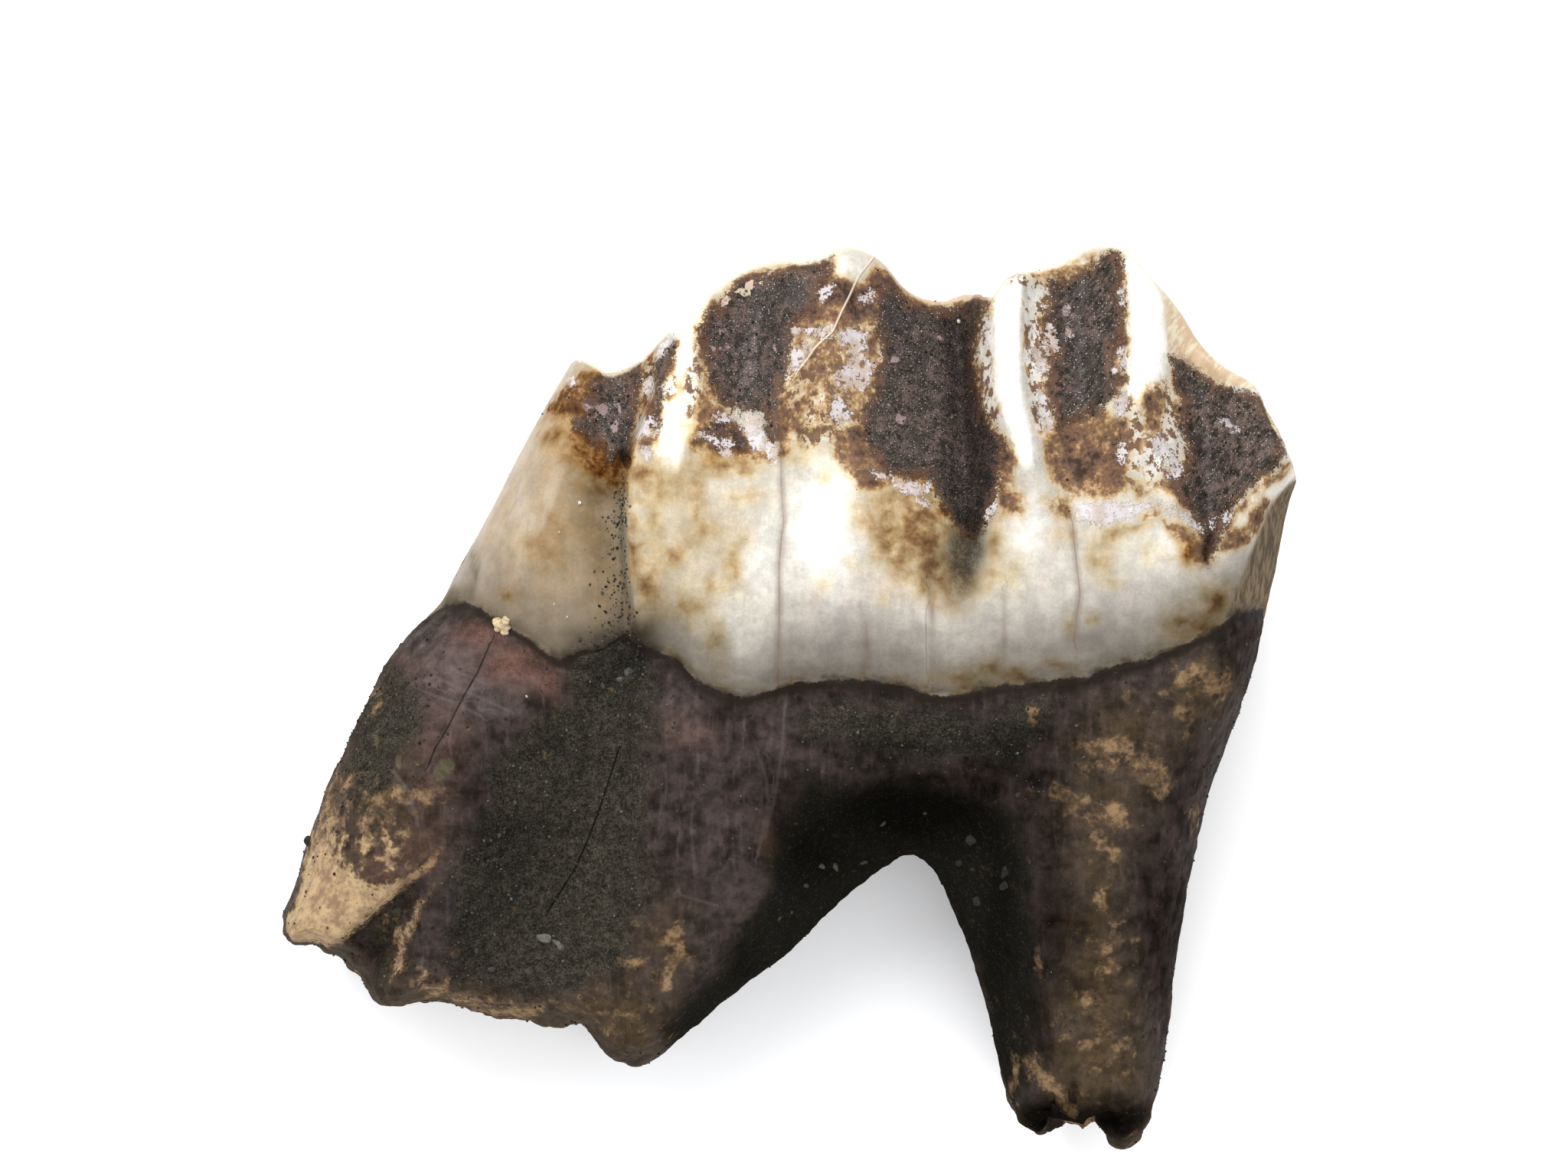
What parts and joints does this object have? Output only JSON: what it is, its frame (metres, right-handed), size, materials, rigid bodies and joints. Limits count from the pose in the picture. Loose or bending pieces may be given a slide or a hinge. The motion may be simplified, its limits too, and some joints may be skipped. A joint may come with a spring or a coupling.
{
  "type": "fossil deer tooth",
  "caption": "Dark stained lower cheek tooth of a small deer, with ribbed pale enamel, a lobed crown and two broken roots. It lies on its side as a specimen.",
  "frame": {"origin": "centre of the bounding box, on the surface that the tooth lies on", "axes": "+X towards the front of the jaw, +Y from the roots to the chewing edge, +Z towards the tongue side, which faces up"},
  "size_m": [0.0238, 0.0212, 0.0091],
  "materials": {
    "fossil_tooth": "glossy cream enamel with dark brown stain in its grooves, and satin purple-brown roots with grey-green sand"
  },
  "bodies": {
    "root": {"deer_tooth": "fossil_tooth"}
  },
  "joints": []
}
